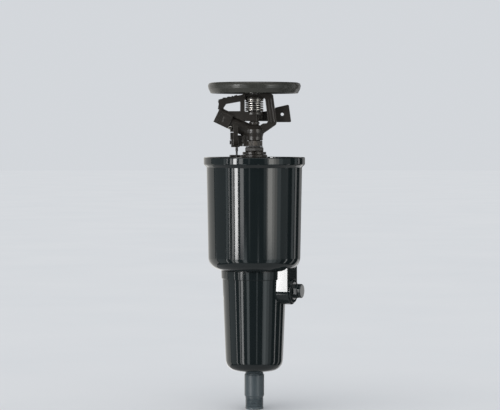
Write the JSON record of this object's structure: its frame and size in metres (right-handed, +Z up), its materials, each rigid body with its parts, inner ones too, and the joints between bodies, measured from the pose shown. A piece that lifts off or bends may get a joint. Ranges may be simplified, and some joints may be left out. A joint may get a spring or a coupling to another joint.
{
  "type": "pop-up impact sprinkler",
  "caption": "Buried pop-up lawn sprinkler: stepped black case, sliding riser, and a sprung impact head under a round cover that turns between two stops.",
  "frame": {"origin": "centre of the lower end of the inlet nipple, on the sprinkler's upright axis", "axes": "+Z up along the axis; the nozzle throws towards -X in the rest pose"},
  "size_m": [0.1144, 0.1144, 0.3695],
  "materials": {
    "case_plastic": "glossy moulded black plastic with a faint green-grey cast",
    "cover_plastic": "satin black plastic lid",
    "head_plastic": "moulded black plastic, duller than the case",
    "nipple_plastic": "dark blue-grey pipe plastic",
    "inner_plastic": "plain black moulding",
    "screen_plastic": "grey strainer plastic",
    "washer_nylon": "natural nylon",
    "seal_rubber": "black seal rubber",
    "spring_steel": "bright stainless wire and pins"
  },
  "bodies": {
    "case": {"lower_case": "case_plastic", "upper_case": "case_plastic", "inlet_nipple": "nipple_plastic", "riser_guide": "inner_plastic", "union_nut": "inner_plastic", "guide_o_ring": "seal_rubber", "wiper_seal": "seal_rubber", "seal_retainer": "inner_plastic", "retract_spring": "spring_steel", "side_inlet_plug": "case_plastic", "plug_seal": "seal_rubber"},
    "riser": {"riser_tube": "inner_plastic", "filter_screen": "screen_plastic", "riser_cap": "head_plastic", "bearing_nut": "head_plastic"},
    "collar_lower": {"trip_collar_lower": "head_plastic"},
    "collar_upper": {"trip_collar_upper": "head_plastic"},
    "head": {"bearing_tube": "inner_plastic", "thrust_washer": "washer_nylon", "seal_washer": "seal_rubber", "wear_washer": "washer_nylon", "upper_washer": "washer_nylon", "sand_guard": "head_plastic", "bearing_spring": "spring_steel", "bridge_body": "head_plastic", "fulcrum_pin": "spring_steel", "arm_spring": "spring_steel", "trip_pin": "spring_steel", "trip_spring": "spring_steel", "cover": "cover_plastic", "nozzle": "head_plastic", "flow_vane": "inner_plastic", "range_screw": "spring_steel"},
    "arm": {"drive_arm": "head_plastic"},
    "trip": {"trip_rocker": "head_plastic", "trip_wire": "spring_steel"}
  },
  "joints": [
    {"name": "pop_up", "type": "slide", "parent": "case", "child": "riser", "axis": [0, 0, 1], "range_m": [-0.0795, 0], "deforming": ["retract_spring"]},
    {"name": "head_turn", "type": "hinge", "parent": "riser", "child": "head", "pos_m": [0, 0, 0.27], "axis": [0, 0, 1], "range_deg": [-2, 264]},
    {"name": "arm_swing", "type": "hinge", "parent": "head", "child": "arm", "pos_m": [0, 0, 0.33], "axis": [0, 0, 1], "range_deg": [0, 108], "stiffness_Nm_per_rad": 0.02, "springref_deg": -28.65},
    {"name": "trip_toggle", "type": "hinge", "parent": "head", "child": "trip", "pos_m": [-0.02, 0, 0.302], "axis": [1, 0, 0], "range_deg": [-13, 0]},
    {"name": "upper_collar_turn", "type": "hinge", "parent": "riser", "child": "collar_upper", "pos_m": [0, 0, 0.29], "axis": [0, 0, 1], "range_deg": [0, 60]},
    {"name": "lower_collar_turn", "type": "hinge", "parent": "riser", "child": "collar_lower", "pos_m": [0, 0, 0.286], "axis": [0, 0, 1], "range_deg": [-40, 0]}
  ]
}
